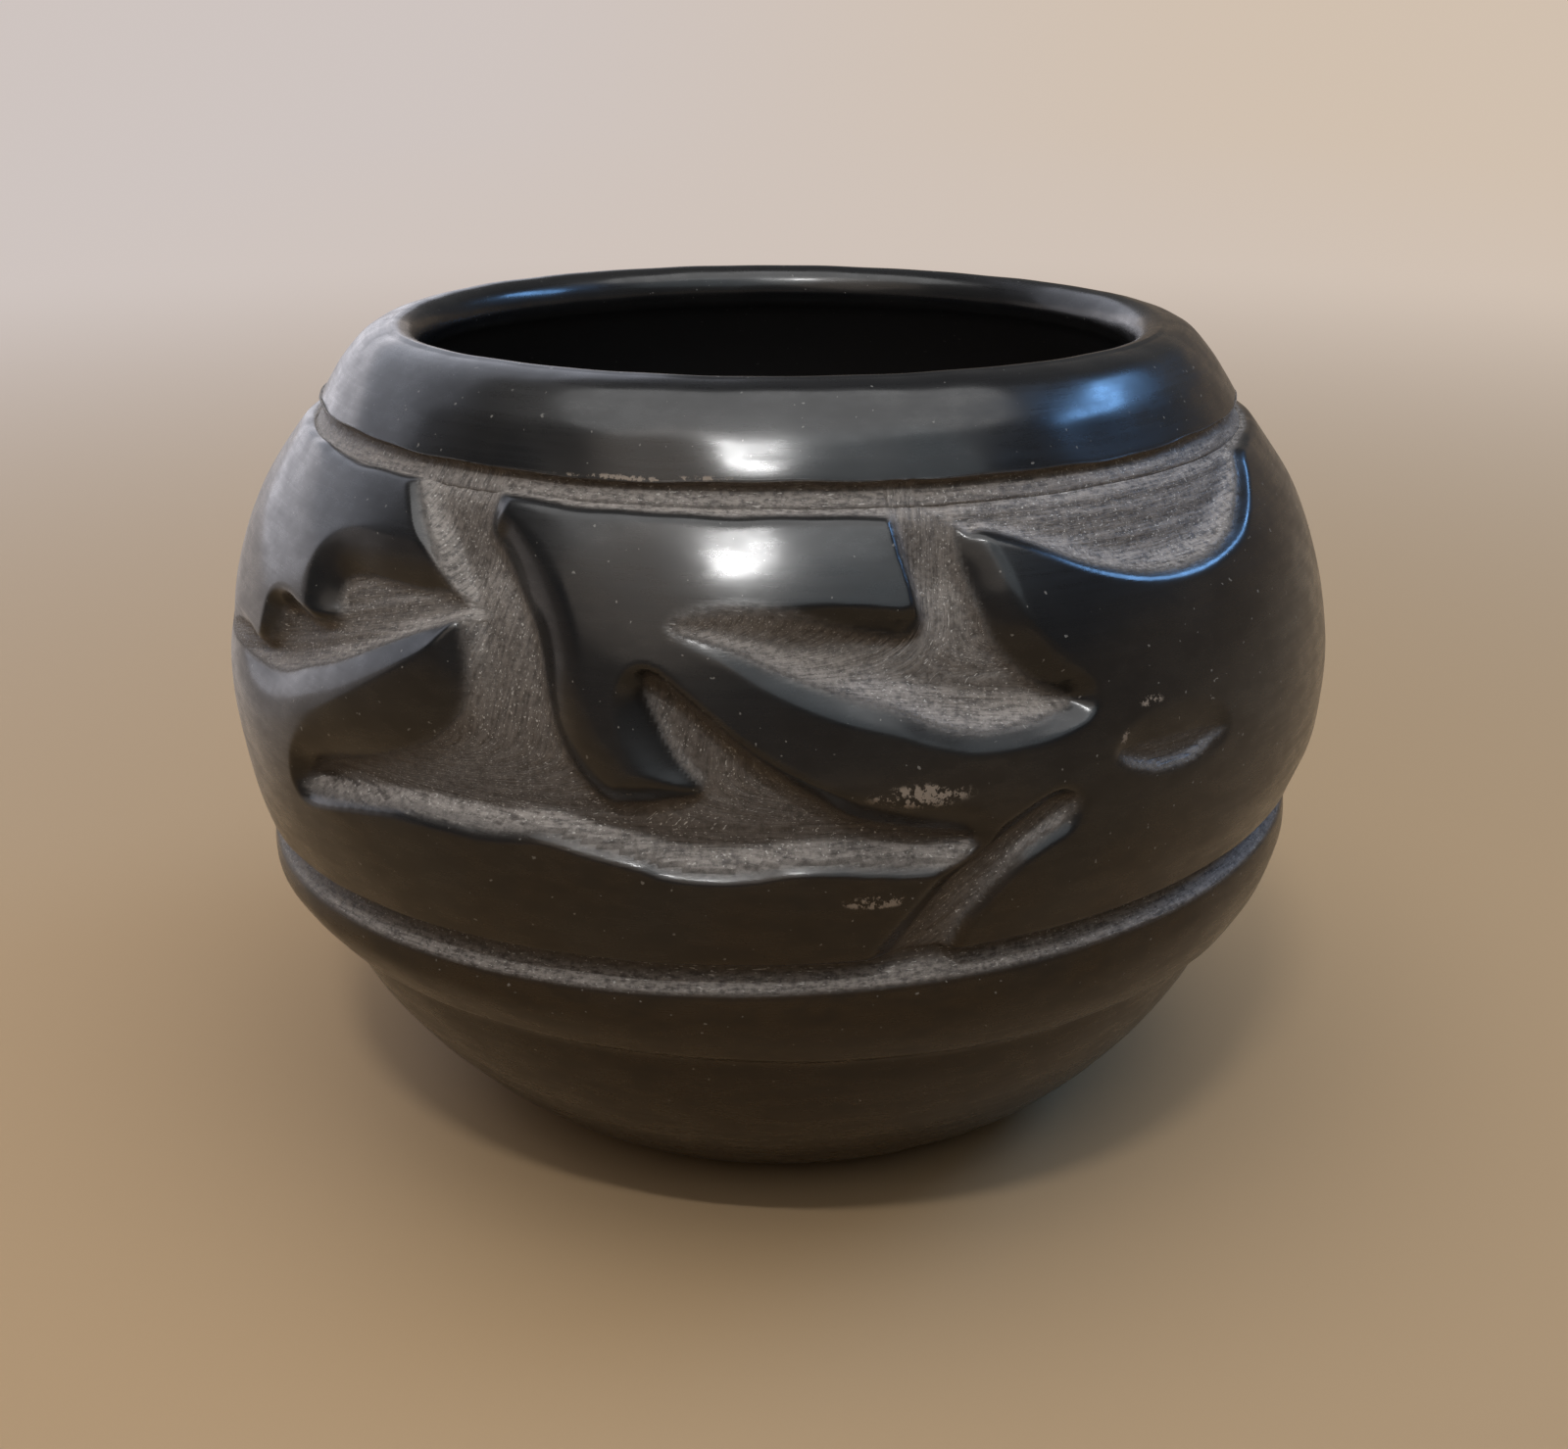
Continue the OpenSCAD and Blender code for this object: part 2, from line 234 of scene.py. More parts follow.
# The cuts run out towards the collar, into the unpolished ledge below it
FADE_LOW, FADE_HIGH = 77.5, 85.4
LEDGE_HEIGHT = 83.9
LEDGE_DEPTH, LEDGE_BANK, LEDGE_BEVEL = 1.1, 0.9, 1.0
# Distances above the ledge's lower edge over which the polish ends
LEDGE_POLISH = (-0.35, 0.25)
# The polish ends at a cut over this share of the bank's width, between a least and a most
POLISH_SHARE, POLISH_LEAST, POLISH_MOST = 0.25, 0.12, 1
# Width of the unpolished rim outside a crisp edge, and the bevel's widths over which an edge is less crisp
CRISP_LAP, CRISP_BEVEL = 0.45, (0.6, 1.2)
# Height above a cut's foot over which the strokes turn from the foot's way to the top's
STROKE_TURN = (4, 12)
# Sets the marks in cuts of unlike depth apart
STROKE_SPREAD = 9
# Heights over which the cuts turn from level to square with the wall
LEVEL_CUT = (44, 50)
# Heights of the undercut below the collar, and on the collar those over which the polish begins
UNDER_COLLAR = (collar_height - 1, collar_height - 0.6)
COLLAR_POLISH = (85.4, 85.8)
# Heights over which the groove's unpolished ground begins and ends
GROOVE_GROUND = ((groove_low, groove_low + 0.5), (groove_high - 0.8, groove_high - 0.4))
# The groove above the middle ring runs uphill to the right by this much each way, between these heights
GROOVE_TILT, TILT_BAND = 2.2, ((29, 38), (42.5, 52))
# Heights over which the small waves of the collar's edge begin and end
COLLAR_WAVES = ((84.9, 85.7), (86, 90))
# Reach, in rows and columns, of the averages that ease the carving and the edge of the polish
DEPTH_BLUR, GROUND_BLUR = 0.7, 0.5
# The hand's wobble keeps inside the solids, begins over these radii and heights, and is less in the bowl
WOBBLE_INSET = 0.36
WOBBLE_RADII, WOBBLE_HEIGHTS, INSIDE_WOBBLE = (2, 20), (0.4, 6), 0.6
# Lengths past the lip over which the polish ends inside the bowl
INSIDE_GROUND = (5, 12)
# Worn and chipped places, as degrees, height, half length and half height
SCUFFS = [(11.5, 59.5, 4.5, 1.1), (8, 49, 3, 0.7), (33.7, 65, 1.4, 0.6), (30.6, 62.2, 0.8, 0.8),
          (-13, 86, 11, 0.35)]


def smoothstep(low, high, x):
    """Runs from 0 at low to 1 at high, level at both ends."""
    t = np.clip((x - low) / (high - low), 0, 1)
    return t * t * (3 - 2 * t)


def hump(rise, fall, x):
    """Runs from 0 to 1 between the two values of rise and back to 0 between those of fall."""
    return smoothstep(*rise, x) * (1 - smoothstep(*fall, x))


def closed_run(points, steps=6):
    """The same smooth curve as smooth_run, through a closed ring of points, with widths above the least."""
    p = np.asarray(points, float)
    a, b, c, d = (np.roll(p, k, axis=0)[:, None] for k in (1, 0, -1, -2))
    run = curve_between(a, b, c, d, steps).reshape(-1, p.shape[1])
    run[:, 2:] = np.maximum(run[:, 2:], LEAST_WIDTH)
    return run


def cut_profile(inside, across_bank, across_bevel, bevel_share, roundness):
    """Share of a cut's depth: the bevel falls to its share of it, and the bank eases down to the floor."""
    bank = bevel_share + (1 - bevel_share) * (1 - (1 - across_bank) ** 2)
    return np.where(inside, bank, bevel_share * across_bevel ** roundness)


def cut_shape(x, y, outline):
    """Profile of a cut at points x, y, distance inside its outline, and widths of its bank and bevel there.

    Each straight piece of the outline gives a distance, measured in widths of its bank and of its
    bevel, and the least of each is kept. A point is inside where a level line from it crosses the
    outline an odd number of times.
    """
    near = np.full(x.shape, np.inf)
    bank_at, bank = np.full(x.shape, np.inf), np.ones(x.shape)
    bevel_at, bevel = np.full(x.shape, np.inf), np.ones(x.shape)
    inside = np.zeros(x.shape, bool)
    for (ax, ay, aw, ab), (bx, by, bw, bb) in zip(outline, np.roll(outline, -1, axis=0)):
        ex, ey = bx - ax, by - ay
        t = np.clip(((x - ax) * ex + (y - ay) * ey) / (ex * ex + ey * ey + TINY), 0, 1)
        gap = np.hypot(x - ax - t * ex, y - ay - t * ey)
        near = np.minimum(near, gap)
        width, reach = aw + (bw - aw) * t, ab + (bb - ab) * t
        closer = gap / width < bank_at
        bank_at, bank = np.where(closer, gap / width, bank_at), np.where(closer, width, bank)
        closer = gap / reach < bevel_at
        bevel_at, bevel = np.where(closer, gap / reach, bevel_at), np.where(closer, reach, bevel)
        if abs(ey) > TINY:
            inside ^= ((ay > y) != (by > y)) & (x < ax + (y - ay) / ey * ex)
    share = bevel / (bevel + bank)
    roundness = 1 + BEVEL_ROUNDING * smoothstep(*WIDE_BEVEL, bevel)
    shape = cut_profile(inside, np.clip(bank_at, 0, 1), np.clip(1 - bevel_at, 0, 1), share, roundness)
    return shape, np.where(inside, near, -near), bank, bevel


def ledge_height(angle):
    """Height of the ledge's lower edge: a slow swell, twice round, with small waves of the tool."""
    a = np.radians(angle)
    return (LEDGE_HEIGHT + 0.5 * np.cos(2 * a + 2.27) + 0.1 * np.sin(10 * a + 1) + 0.07 * np.sin(22 * a)
            + 0.04 * np.sin(46 * a + 2))


def ring_place(x):
    """A place on a ring as long as one group's share of the turn, so that it closes where groups meet."""
    turns = 360 / GROUP_TURN
    return [UNROLL_R / turns * wave(turns * x / UNROLL_R) for wave in (np.cos, np.sin)]


def tool_flutes(strokes):
    """Shallow flutes along the tool's strokes: two waves across them that wander along them."""
    across, along = strokes[..., 0], strokes[..., 1]
    wide = np.sin(2 * np.pi * across / 2.3 + 0.9 * np.sin(along / 6))
    narrow = np.sin(2 * np.pi * across / 1.37 + 1.2 * np.sin(along / 9 + 1))
    return 0.05 * wide + 0.035 * narrow


def carve(angle, s, z):
    """Depth of the carving, share of unpolished ground and tool strokes on a grid of one group's columns.

    The cuts are joined by a root of the sum of their powers, which is close to the deepest one but
    has no crease where two of them meet. The strokes' vector holds the distance across them, the
    distance along them and a value for the cut.
    """
    x, y = np.meshgrid(np.radians(angle) * UNROLL_R, s)
    turn = np.radians(GROUP_TURN) * UNROLL_R
    fade = np.repeat(1 - smoothstep(FADE_LOW, FADE_HIGH, z)[:, None], x.shape[1], 1)
    ledge = LEDGE_DEPTH * (1 - smoothstep(*UNDER_COLLAR, z))[:, None]
    power = np.zeros(x.shape)
    ground = np.zeros(x.shape)
    strokes = np.stack([y, *ring_place(x)], -1)
    for points, depth, top_stroke, foot_stroke, matt, (tip, full, tip_share) in CUTS:
        outline = closed_run(points)
        outline[:, 0] = np.radians(outline[:, 0]) * UNROLL_R
        outline[:, 1] = length_at_height(outline[:, 1])
        (left, foot), (right, top) = outline[:, :2].min(axis=0), outline[:, :2].max(axis=0)
        middle = (left + right) / 2
        u = middle + (x - middle + turn / 2) % turn - turn / 2
        near = (u > left - CUT_REACH) & (u < right + CUT_REACH)
        near &= (y > foot - CUT_REACH) & (y < top + CUT_REACH)
        across, up = u[near], y[near]
        shape, inside, bank, bevel = cut_shape(across, up, outline)
        from_tip = smoothstep(tip, full, np.degrees(across / UNROLL_R))
        shape = shape * (tip_share + (1 - tip_share) * from_tip)
        power[near] += (shape * (depth * fade + ledge * (1 - fade))[near]) ** JOIN_POWER
        edge = np.clip(POLISH_SHARE * bank, POLISH_LEAST, POLISH_MOST)
        lap = CRISP_LAP * (1 - smoothstep(*CRISP_BEVEL, bevel))
        ground[near] = np.maximum(ground[near], matt * smoothstep(-edge, edge, inside + lap))
        way = np.radians(foot_stroke + (top_stroke - foot_stroke) * smoothstep(*STROKE_TURN, up - foot))
        side, rise = across - middle, up - foot - STROKE_TURN[1]
        line = np.stack([rise * np.cos(way) - side * np.sin(way), side * np.cos(way) + rise * np.sin(way),
                         np.full(up.shape, depth * STROKE_SPREAD)], -1)
        strokes[near] = np.where((inside > 0)[:, None], line, strokes[near])
    above = y - length_at_height(ledge_height(angle))[None, :]
    across_bank, across_bevel = np.clip(above / LEDGE_BANK, 0, 1), np.clip(1 + above / LEDGE_BEVEL, 0, 1)
    shape = cut_profile(above > 0, across_bank, across_bevel, LEDGE_BEVEL / (LEDGE_BEVEL + LEDGE_BANK), 1)
    power += (ledge * shape) ** JOIN_POWER
    ground = np.maximum(ground, smoothstep(*LEDGE_POLISH, above))
    return power ** (1 / JOIN_POWER) + ground * tool_flutes(strokes), ground, strokes


def blur_grid(field, reach):
    """A bell-shaped average of a grid over rows and, round the closed turn, over columns."""
    n = int(np.ceil(3 * reach))
    bell = np.exp(-0.5 * (np.arange(-n, n + 1) / reach) ** 2)
    weights = bell / bell.sum()
    field = sum(w * np.roll(field, k - n, axis=1) for k, w in enumerate(weights))
    padded = np.pad(field, ((n, n), (0, 0)), mode="edge")
    return sum(w * padded[k:k + field.shape[0]] for k, w in enumerate(weights))


def hand_wobble(angle, s):
    """Small unevenness of hand work, in millimetres: slow waves round and up the wall, and dimples."""
    a, t = np.meshgrid(np.radians(angle), s)
    slow = 0.16 * np.sin(2 * a + 0.8) + 0.12 * np.sin(3 * a - 1.1 + t / 40) + 0.07 * np.sin(5 * a + t / 13)
    dimples = 0.03 * np.sin(17 * a - t / 3.1 + 2) * np.sin(t / 4.3 + 1) + 0.025 * np.sin(29 * a + t / 2.3)
    return slow + dimples - WOBBLE_INSET


def line_rise(angle, height):
    """How far a point moves up with the tilted groove and with the small waves of the collar's edge."""
    a = np.radians(angle)
    waves = 0.16 * np.sin(6 * a + 1) + 0.1 * np.sin(13 * a + 2) + 0.05 * np.sin(37 * a)
    return GROOVE_TILT * np.sin(a) * hump(*TILT_BAND, height) + waves * hump(*COLLAR_WAVES, height)


def wear(angle, s, outside):
    """Share of wear on a grid: a bell-shaped patch at each scuff, on the outside only."""
    x, y = np.meshgrid(np.radians(angle) * UNROLL_R, s)
    share = np.zeros(x.shape)
    for degrees, height, half_length, half_height in SCUFFS:
        along = (x - np.radians(degrees) * UNROLL_R) / half_length
        up = (y - length_at_height(height)) / half_height
        share = np.maximum(share, np.exp(-along ** 2 - up ** 2))
    return share * outside[:, None]


def section_frame(s):
    """Radius, height and outward normal of the section at lengths s."""
    r, z = np.interp(s, section_s, section_r), np.interp(s, section_s, section_z)
    nr = np.interp(s, section_s, np.gradient(section_z, section_s))
    nz = -np.interp(s, section_s, np.gradient(section_r, section_s))
    size = np.hypot(nr, nz)
    return r, z, nr / size, nz / size


def round_the_axis(radius, height, angle):
    """Points in metres of rows of radius and height carried round the axis; 0 degrees is the front."""
    a = np.radians(angle)[None, :]
    return np.stack([radius * np.sin(a), -radius * np.cos(a), height * np.ones(a.shape)], -1) * MM


column_angle = np.arange(COLUMNS) * 360.0 / COLUMNS - 180.0


def wall_grid(s):
    """The wall for rows at lengths s: points in metres, unpolished ground, strokes, inside share and wear.

    A point is the section's radius and height carried round the axis, moved in along the section's
    normal by the carving's depth, with hand wobble. Near the groove the carving goes level, and no
    deeper than the groove's floor.
    """
    r, z, nr, nz = section_frame(s)
    outside = s < section_s[lip_at]
    carved = outside & (z > groove_high - 1) & (z < collar_height)
    group = int(COLUMNS * GROUP_TURN / 360)
    turns = COLUMNS // group
    depth = np.zeros((len(s), COLUMNS))
    ground = np.zeros(depth.shape)
    ring = ring_place(np.radians(column_angle) * UNROLL_R)
    strokes = np.stack(np.broadcast_arrays(s[:, None], *ring), -1)
    cut, matt, marks = carve(column_angle[:group], s[carved], z[carved])
    depth[carved] = np.tile(cut, (1, turns))
    ground[carved] = np.tile(matt, (1, turns))
    strokes[carved] = np.tile(marks, (1, turns, 1))
    grooves = np.maximum(hump(*GROOVE_GROUND, z), hump(UNDER_COLLAR, COLLAR_POLISH, z))
    ground = np.maximum(ground, (grooves * outside)[:, None])
    depth, ground = blur_grid(depth, DEPTH_BLUR), blur_grid(ground, GROUND_BLUR)
    off_axis = smoothstep(*WOBBLE_RADII, r)[:, None]
    above_foot = smoothstep(*WOBBLE_HEIGHTS, z)[:, None] * np.where(outside, 1, INSIDE_WOBBLE)[:, None]
    wobble = hand_wobble(column_angle, s) * off_axis * above_foot
    level = 1 - smoothstep(*LEVEL_CUT, z)
    cut_r, cut_z = nr + (1 - nr) * level, nz * (1 - level)
    least_r = np.where(outside & (z < LEVEL_CUT[0]), np.minimum(r, ring_r - groove_depth), 0)
    radius = np.maximum(r[:, None] - cut_r[:, None] * depth, least_r[:, None]) + nr[:, None] * wobble
    height = z[:, None] - cut_z[:, None] * depth + nz[:, None] * wobble
    height = height + np.where(outside[:, None], line_rise(column_angle, z[:, None]), 0)
    points = round_the_axis(radius, height, column_angle)
    inside = np.where(outside, 0, smoothstep(*INSIDE_GROUND, s - section_s[lip_at]))
    return {"points": points, "normals": grid_normals(points), "ground": ground, "grain": strokes,
            "inside": np.broadcast_to(inside[:, None], ground.shape),
            "wear": wear(column_angle, s, outside)}


def lap_row(s):
    """One hidden row of a lap joint: the section's point at length s, moved straight in below the cuts."""
    r, z, nr, nz = section_frame(np.array([s]))
    points = round_the_axis((r - LAP_DEPTH * nr)[:, None], (z - LAP_DEPTH * nz)[:, None], column_angle)
    flat = np.zeros((1, COLUMNS))
    return {"points": points, "normals": np.stack([flat, flat, flat + 1], -1), "ground": flat,
            "grain": points / MM, "inside": flat, "wear": flat}


def rows_between(low, high, step):
    """Even lengths from low to high, both included, no more than step apart."""
    return np.linspace(low, high, max(2, int(np.ceil(abs(high - low) / step)) + 1))


def grid_normals(points):
    """Unit normals of a grid that closes round its columns, by differences to the neighbours."""
    along = np.gradient(points, axis=0)
    around = np.roll(points, -1, axis=1) - np.roll(points, 1, axis=1)
    normal = np.cross(around, along)
    return normal / np.maximum(np.linalg.norm(normal, axis=-1, keepdims=True), TINY)


def ring_faces(first, second):
    """Four-cornered faces between two rings of vertex numbers, with the outward side to the right."""
    return np.stack([first, np.roll(first, -1), np.roll(second, -1), second], -1)


def clay_piece(name, slot, blocks, poles):
    """A closed mesh from blocks of rows, each block a grid of points, in order round the section.

    Neighbouring rows are joined by four-cornered faces. Without poles the last row joins the first
    across the lap joint; with poles the first and last rows close in a fan on the axis.
    """
    points = np.vstack([b["points"] for b in blocks])
    rows = points.shape[0]
    numbers = np.arange(rows * COLUMNS).reshape(rows, COLUMNS)
    quads = [ring_faces(numbers[k], numbers[k + 1]) for k in range(rows - 1)]
    corners = points.reshape(-1, 3)
    fans = []
    if poles:
        first = len(corners)
        corners = np.vstack([corners, poles])
        fans += np.stack([np.roll(numbers[0], -1), numbers[0], np.full(COLUMNS, first)], -1).tolist()
        fans += np.stack([numbers[-1], np.roll(numbers[-1], -1), np.full(COLUMNS, first + 1)], -1).tolist()
    else:
        quads.append(ring_faces(numbers[-1], numbers[0]))
    mesh = bpy.data.meshes.new(name)
    mesh.from_pydata(corners, [], np.vstack(quads).tolist() + fans)

    def spread(key):
        """One value, or vector, for each vertex, with zeros at the poles."""
        flat = np.vstack([b[key] for b in blocks]).reshape(rows * COLUMNS, -1)
        return np.vstack([flat, np.zeros((len(poles), flat.shape[1]))]).astype(np.float32)

    for key, kind, field in (("ground", "FLOAT", "value"), ("inside", "FLOAT", "value"),
                             ("wear", "FLOAT", "value"), ("grain", "FLOAT_VECTOR", "vector")):
        mesh.attributes.new(key, kind, "POINT").data.foreach_set(field, spread(key).ravel())
    mesh.polygons.foreach_set("use_smooth", np.ones(len(mesh.polygons), bool))
    normals = spread("normals")
    if poles:
        normals[-2:] = [(0, 0, -1), (0, 0, 1)]
    mesh.validate(clean_customdata=False)
    mesh.normals_split_custom_set_from_vertices(normals.tolist())
    piece = bpy.data.objects.new(name, mesh)
    bpy.context.scene.collection.objects.link(piece)
    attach(piece, "root")
    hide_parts(name.replace("_clay", ""))
    piece.data.materials.append(finishes[slot])


def build_bowl():
    """All the clay pieces, cut from one grid of the wall that runs up the outside and down the inside."""
    outer_at = [POLE_GAP] + [place_on_section(j[0]) for j in JOINTS]
    inner_at = [section_s[-1] - POLE_GAP] + [place_on_section(j[1]) for j in JOINTS]
    top = len(COURSES) - 1
    outside = [rows_between(outer_at[k], outer_at[k + 1] if k < top else inner_at[k], COURSES[k][2])
               for k in range(top + 1)]
    inside = [rows_between(inner_at[k + 1], inner_at[k], INSIDE_STEP) for k in range(top)]
    lengths = np.unique(np.concatenate(outside + inside))
    wall = wall_grid(lengths)

    def block(rows):
        """The wall's rows at some of its lengths."""
        return {key: grid[np.searchsorted(lengths, rows)] for key, grid in wall.items()}

    for k, (node, slot, _) in enumerate(COURSES):
        blocks = [block(outside[k])]
        if k in CARVED_JOINTS:
            blocks.append(lap_row(outer_at[k + 1]))
        if k < top:
            blocks.append(block(inside[k]))
        if k - 1 in CARVED_JOINTS:
            blocks.append(lap_row(outer_at[k]))
        poles = [] if k else [(0, 0, 0), (0, 0, floor_thickness * MM)]
        clay_piece(node + "_clay", slot, blocks, poles)


class Finish:
    """A material with short ways to add nodes, in which a socket takes a link, a number or a colour."""

    def __init__(self, name):
        """Starts from an empty tree."""
        self.material = bpy.data.materials.new(name)
        self.material.use_nodes = True
        self.tree = self.material.node_tree
        self.tree.nodes.clear()

    def node(self, kind, inputs=None, **settings):
        """The outputs of a new node with these settings and inputs."""
        made = self.tree.nodes.new(kind)
        for key, value in settings.items():
            setattr(made, key, value)
        for key, value in (inputs or {}).items():
            socket = made.inputs[key]
            if isinstance(value, bpy.types.NodeSocket):
                self.tree.links.new(value, socket)
            else:
                socket.default_value = (*value, 1) if socket.type == "RGBA" else value
        return made.outputs

    def ramp(self, source, low, high, value_low, value_high):
        """Runs from one value at low to the other at high, level at both ends."""
        inputs = dict(enumerate((source, low, high, value_low, value_high)))
        return self.node("ShaderNodeMapRange", inputs, interpolation_type="SMOOTHSTEP")[0]

    def combine(self, operation, first, second):
        """Sum, product or greater of two values."""
        return self.node("ShaderNodeMath", {0: first, 1: second}, operation=operation)[0]

    def product(self, *factors):
        """Product of all the factors."""
        result = factors[0]
        for factor in factors[1:]:
            result = self.combine("MULTIPLY", result, factor)
        return result

    def noise(self, vector, scale, stretch=(1, 1, 1), detail=4, roughness=0.55):
        """Noise of a scale on the vector, squeezed along its axes."""
        place = self.node("ShaderNodeMapping", {"Vector": vector, "Scale": stretch})[0]
        inputs = {"Vector": place, "Scale": scale, "Detail": detail, "Roughness": roughness}
        return self.node("ShaderNodeTexNoise", inputs)["Fac"]

    def blend(self, factor, first, second):
        """Colour from the first to the second by the factor."""
        return self.node("ShaderNodeMix", {0: factor, 6: first, 7: second}, data_type="RGBA")[2]

    def blend_value(self, factor, first, second):
        """Value from the first to the second by the factor."""
        return self.node("ShaderNodeMix", {0: factor, 2: first, 3: second}, data_type="FLOAT")[0]

    def attribute(self, name):
        """The outputs of one of the piece's own attributes."""
        return self.node("ShaderNodeAttribute", attribute_name=name)


# Colours of the polish: the black, its grey clouds, a painted floor reflection low down, and the mottling
DEEP_BLACK, GRAPHITE = (0.0046, 0.0046, 0.0051), (0.0110, 0.0102, 0.0096)
REFLECTED_FLOOR_BROWN = (0.0190, 0.0113, 0.0052)
MOTTLED_BLACK = (0.0035, 0.0030, 0.0028)
# Colours of the carved ground, dark and pale, and painted shade low down, painted top light and painted
# sparkles
DARK_GROUND, PALE_GROUND = (0.045, 0.039, 0.035), (0.144, 0.127, 0.114)
SHADED_LOW_GROUND = (0.030, 0.023, 0.019)
TOP_LIT_GROUND = (0.29, 0.262, 0.24)
PAINTED_GLINT = (0.52, 0.50, 0.47)
# Colours of bare clay where it is worn, of the inside and of specks
WORN_CLAY = (0.215, 0.178, 0.145)
DULL_INSIDE = (0.045, 0.043, 0.043)
SPECK = (0.30, 0.29, 0.27)
# Heights in metres between which the painted floor reflection gives way, and the full burnish begins
REFLECTED_FLOOR_HEIGHTS = (0.034, 0.060)
BURNISH_HEIGHTS = (0.034, 0.062)


def blackware(name):
    """Burnished black clay where ground is 0 and matt carved clay where it is 1.

    The grain runs in fine streaks along the burnishing or the tool's strokes, soft clouds of graphite
    grey lie in the black, worn places show the pale clay, and a few dusty specks lie over both.
    Light is painted in too: the carved ground is paler where it faces up and darker low down, as
    painted light and shade, pale flecks on it are painted sparkles, and the black low down is warmed
    by a painted reflection of the floor.
    """
    clay = Finish(name)
    ramp, blend, blend_value = clay.ramp, clay.blend, clay.blend_value
    coordinates = clay.node("ShaderNodeTexCoord")
    place, normal = coordinates["Object"], coordinates["Normal"]
    grain = clay.attribute("grain")["Vector"]
    ground, inside, scuffs = (clay.attribute(key)["Fac"] for key in ("ground", "inside", "wear"))

    clouds = clay.noise(place, 55, detail=3)
    mottle = clay.noise(place, 260, (1, 1, 2.2), detail=4, roughness=0.6)
    streaks = clay.noise(grain, 1.0, (1.8, 0.04, 0.04), detail=5, roughness=0.65)
    tool_marks = clay.noise(grain, 1.0, (3.3, 0.25, 1), detail=5, roughness=0.70)
    grit = clay.noise(place, 1500, detail=3, roughness=0.7)
    painted_glints = clay.noise(grain, 1.0, (5.5, 2.6, 1), detail=2, roughness=0.6)
    specks = clay.noise(place, 1700, detail=1, roughness=0.4)
    crumbs = clay.noise(place, 1100, detail=4, roughness=0.75)
    height = clay.node("ShaderNodeSeparateXYZ", {0: place})["Z"]
    cloudy_height = clay.combine("ADD", height, ramp(clouds, 0.3, 0.7, 0.008, -0.008))
    upward = clay.node("ShaderNodeSeparateXYZ", {0: normal})["Z"]
    worn = clay.product(scuffs, ramp(crumbs, 0.42, 0.6, 0, 1))

    polished = blend(ramp(clouds, 0.35, 0.7, 0, 1), DEEP_BLACK, GRAPHITE)
    # The black is warmed low down by a painted reflection of the warm floor below
    polished = blend(ramp(cloudy_height, *REFLECTED_FLOOR_HEIGHTS, 1, 0), polished, REFLECTED_FLOOR_BROWN)
    polished = blend(ramp(mottle, 0.4, 0.7, 0, 0.45), polished, MOTTLED_BLACK)
    ground_tone = blend_value(0.45, tool_marks, grit)
    # The carved ground is painted paler where it faces up, as painted light from above
    painted_top_light = clay.product(ramp(upward, 0.25, 0.85, 0, 1), ramp(ground_tone, 0.38, 0.62, 0.05, 0.75))
    matt = blend(ramp(ground_tone, 0.32, 0.68, 0, 1), DARK_GROUND, PALE_GROUND)
    # The carved ground is darkened low down: painted shade, where less light falls
    matt = blend(ramp(cloudy_height, 0.050, 0.074, 0.32, 0), matt, SHADED_LOW_GROUND)
    matt = blend(painted_top_light, matt, TOP_LIT_GROUND)
    # Pale flecks on the carved ground: painted sparkles of light
    matt = blend(ramp(painted_glints, 0.62, 0.70, 0, 0.6), matt, PAINTED_GLINT)
    colour = blend(ground, polished, matt)
    colour = blend(ramp(worn, 0.2, 0.55, 0, 0.85), colour, WORN_CLAY)
    colour = blend(inside, colour, DULL_INSIDE)
    colour = blend(ramp(specks, 0.765, 0.785, 0, 0.35), colour, SPECK)

    shiny = clay.combine("ADD", ramp(mottle, 0.3, 0.7, 0.23, 0.31), ramp(streaks, 0.35, 0.7, 0, 0.06))
    dull = ramp(grit, 0.35, 0.65, 0.38, 0.54)
    rough = blend_value(ground, shiny, dull)
    rough = blend_value(ramp(worn, 0.2, 0.55, 0, 1), rough, 0.7)
    rough = blend_value(inside, rough, 0.5)

    smooth_relief = clay.combine("ADD", clay.product(streaks, 0.012), clay.product(grit, 0.02))
    tooled_relief = clay.combine("ADD", clay.product(tool_marks, 0.6), clay.product(grit, 0.45))
    relief = blend_value(ground, smooth_relief, tooled_relief)
    bump = clay.node("ShaderNodeBump", {"Strength": 0.5, "Distance": 0.0005, "Height": relief})[0]

    burnish = clay.product(ramp(ground, 0, 0.6, 1, 0), ramp(inside, 0, 0.6, 1, 0),
                           ramp(worn, 0.2, 0.45, 1, 0), ramp(mottle, 0.3, 0.7, 0.44, 0.3),
                           ramp(cloudy_height, *BURNISH_HEIGHTS, 0.3, 1))

    surface = {"Base Color": colour, "Roughness": rough, "IOR": 1.36, "Normal": bump,
               "Coat Weight": burnish, "Coat Roughness": 0.16, "Coat IOR": 1.5}
    shader = clay.node("ShaderNodeBsdfPrincipled", surface)[0]
    clay.node("ShaderNodeOutputMaterial", {"Surface": shader})
    return clay.material


# The photograph's view: focal length and width in its pixels, sensor and place in millimetres,
# turns in radians
FOCAL_PIXELS, WIDTH_PIXELS = 1900, 1600
SENSOR_WIDTH = 36.0
CAMERA_Y, CAMERA_Z = -218.3, 124.3
CAMERA_DOWN, CAMERA_RIGHT = 0.3576, 0.0033


def make_camera():
    """The photograph's view: from the front and above, close to the bowl."""
    data = bpy.data.cameras.new("camera")
    camera = bpy.data.objects.new("camera", data)
    bpy.context.scene.collection.objects.link(camera)
    data.sensor_width = SENSOR_WIDTH
    data.lens = SENSOR_WIDTH * FOCAL_PIXELS / WIDTH_PIXELS
    data.clip_start = 0.01
    camera.location = (0, CAMERA_Y * MM, CAMERA_Z * MM)
    camera.rotation_euler = (math.radians(90) - CAMERA_DOWN, 0, -CAMERA_RIGHT)
    bpy.context.scene.camera = camera


